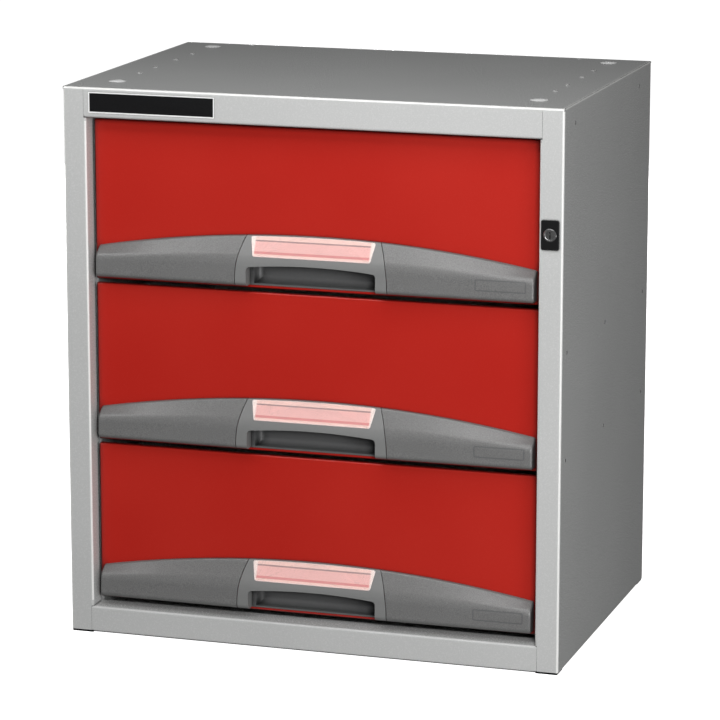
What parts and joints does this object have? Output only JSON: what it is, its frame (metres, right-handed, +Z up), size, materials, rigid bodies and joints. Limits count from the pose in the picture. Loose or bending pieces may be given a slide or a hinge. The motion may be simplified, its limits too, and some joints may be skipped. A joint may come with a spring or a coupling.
{
  "type": "storage cabinet",
  "caption": "Free-standing steel storage cabinet with deep drawers on telescopic slides, full-width moulded handles and a central lock.",
  "frame": {"origin": "on the floor under the middle of the cabinet", "axes": "+Z up, +X to the right of someone facing the drawers, +Y to the back, so the front looks along -Y"},
  "size_m": [0.64, 0.4532, 0.7016],
  "materials": {
    "carcass_paint": "satin powder coat",
    "inner_paint": "satin powder coat",
    "drawer_paint": "satin powder coat",
    "grip_plastic": "fine moulded grain",
    "bridge_plastic": "smooth moulded",
    "cup_plastic": "smooth moulded",
    "label_card": "plain card",
    "label_window": "clear",
    "zinc_steel": "bright zinc",
    "lock_metal": "polished",
    "black_plastic": "smooth moulded",
    "cap_plastic": "smooth moulded"
  },
  "bodies": {
    "carcass": {"left_side_panel": "carcass_paint", "right_side_panel": "carcass_paint", "top_panel": "carcass_paint", "base_panel": "carcass_paint", "back_panel": "carcass_paint", "front_left_upright": "inner_paint", "front_right_upright": "inner_paint", "rear_left_upright": "inner_paint", "rear_right_upright": "inner_paint", "top_stiffeners": "inner_paint", "top_rivets": "zinc_steel", "top_caps": "cap_plastic", "corner_feet": "black_plastic", "lock_housing": "black_plastic", "lock_bar_studs": "zinc_steel", "top_drawer_left_cabinet_rail": "zinc_steel", "top_drawer_right_cabinet_rail": "zinc_steel", "middle_drawer_left_cabinet_rail": "zinc_steel", "middle_drawer_right_cabinet_rail": "zinc_steel", "bottom_drawer_left_cabinet_rail": "zinc_steel", "bottom_drawer_right_cabinet_rail": "zinc_steel"},
    "top_drawer": {"top_drawer_front": "drawer_paint", "top_drawer_box": "inner_paint", "top_drawer_handle_left": "grip_plastic", "top_drawer_handle_right": "grip_plastic", "top_drawer_handle_centre": "bridge_plastic", "top_drawer_finger_cup": "cup_plastic", "top_drawer_label_card": "label_card", "top_drawer_label_window": "label_window", "top_drawer_left_drawer_rail": "zinc_steel", "top_drawer_right_drawer_rail": "zinc_steel"},
    "top_drawer_middle_rails": {"top_drawer_left_middle_rail": "zinc_steel", "top_drawer_right_middle_rail": "zinc_steel"},
    "middle_drawer": {"middle_drawer_front": "drawer_paint", "middle_drawer_box": "inner_paint", "middle_drawer_handle_left": "grip_plastic", "middle_drawer_handle_right": "grip_plastic", "middle_drawer_handle_centre": "bridge_plastic", "middle_drawer_finger_cup": "cup_plastic", "middle_drawer_label_card": "label_card", "middle_drawer_label_window": "label_window", "middle_drawer_left_drawer_rail": "zinc_steel", "middle_drawer_right_drawer_rail": "zinc_steel"},
    "middle_drawer_middle_rails": {"middle_drawer_left_middle_rail": "zinc_steel", "middle_drawer_right_middle_rail": "zinc_steel"},
    "bottom_drawer": {"bottom_drawer_front": "drawer_paint", "bottom_drawer_box": "inner_paint", "bottom_drawer_handle_left": "grip_plastic", "bottom_drawer_handle_right": "grip_plastic", "bottom_drawer_handle_centre": "bridge_plastic", "bottom_drawer_finger_cup": "cup_plastic", "bottom_drawer_label_card": "label_card", "bottom_drawer_label_window": "label_window", "bottom_drawer_left_drawer_rail": "zinc_steel", "bottom_drawer_right_drawer_rail": "zinc_steel"},
    "bottom_drawer_middle_rails": {"bottom_drawer_left_middle_rail": "zinc_steel", "bottom_drawer_right_middle_rail": "zinc_steel"},
    "lock": {"lock_plug": "lock_metal", "lock_cam": "zinc_steel"},
    "lock_bar": {"lock_bar": "zinc_steel"}
  },
  "joints": [
    {"name": "top_drawer_slide", "type": "slide", "parent": "carcass", "child": "top_drawer", "axis": [0, -1, 0], "range_m": [0, 0.38]},
    {"name": "top_drawer_middle_rails_slide", "type": "slide", "parent": "carcass", "child": "top_drawer_middle_rails", "axis": [0, -1, 0], "range_m": [0, 0.19]},
    {"name": "middle_drawer_slide", "type": "slide", "parent": "carcass", "child": "middle_drawer", "axis": [0, -1, 0], "range_m": [0, 0.38]},
    {"name": "middle_drawer_middle_rails_slide", "type": "slide", "parent": "carcass", "child": "middle_drawer_middle_rails", "axis": [0, -1, 0], "range_m": [0, 0.19]},
    {"name": "bottom_drawer_slide", "type": "slide", "parent": "carcass", "child": "bottom_drawer", "axis": [0, -1, 0], "range_m": [0, 0.38]},
    {"name": "bottom_drawer_middle_rails_slide", "type": "slide", "parent": "carcass", "child": "bottom_drawer_middle_rails", "axis": [0, -1, 0], "range_m": [0, 0.19]},
    {"name": "lock_turn", "type": "hinge", "parent": "carcass", "child": "lock", "pos_m": [0.304, -0.225, 0.5475], "axis": [0, 1, 0], "range_deg": [0, 90]},
    {"name": "lock_bar_lift", "type": "slide", "parent": "carcass", "child": "lock_bar", "axis": [0, 0, 1], "range_m": [0, 0.01131]}
  ],
  "couplings": [
    {"joint": "top_drawer_middle_rails_slide", "follows": "top_drawer_slide", "ratio": 0.5},
    {"joint": "middle_drawer_middle_rails_slide", "follows": "middle_drawer_slide", "ratio": 0.5},
    {"joint": "bottom_drawer_middle_rails_slide", "follows": "bottom_drawer_slide", "ratio": 0.5},
    {"joint": "lock_turn", "follows": "lock_bar_lift", "rad_per_m": 138.84}
  ]
}
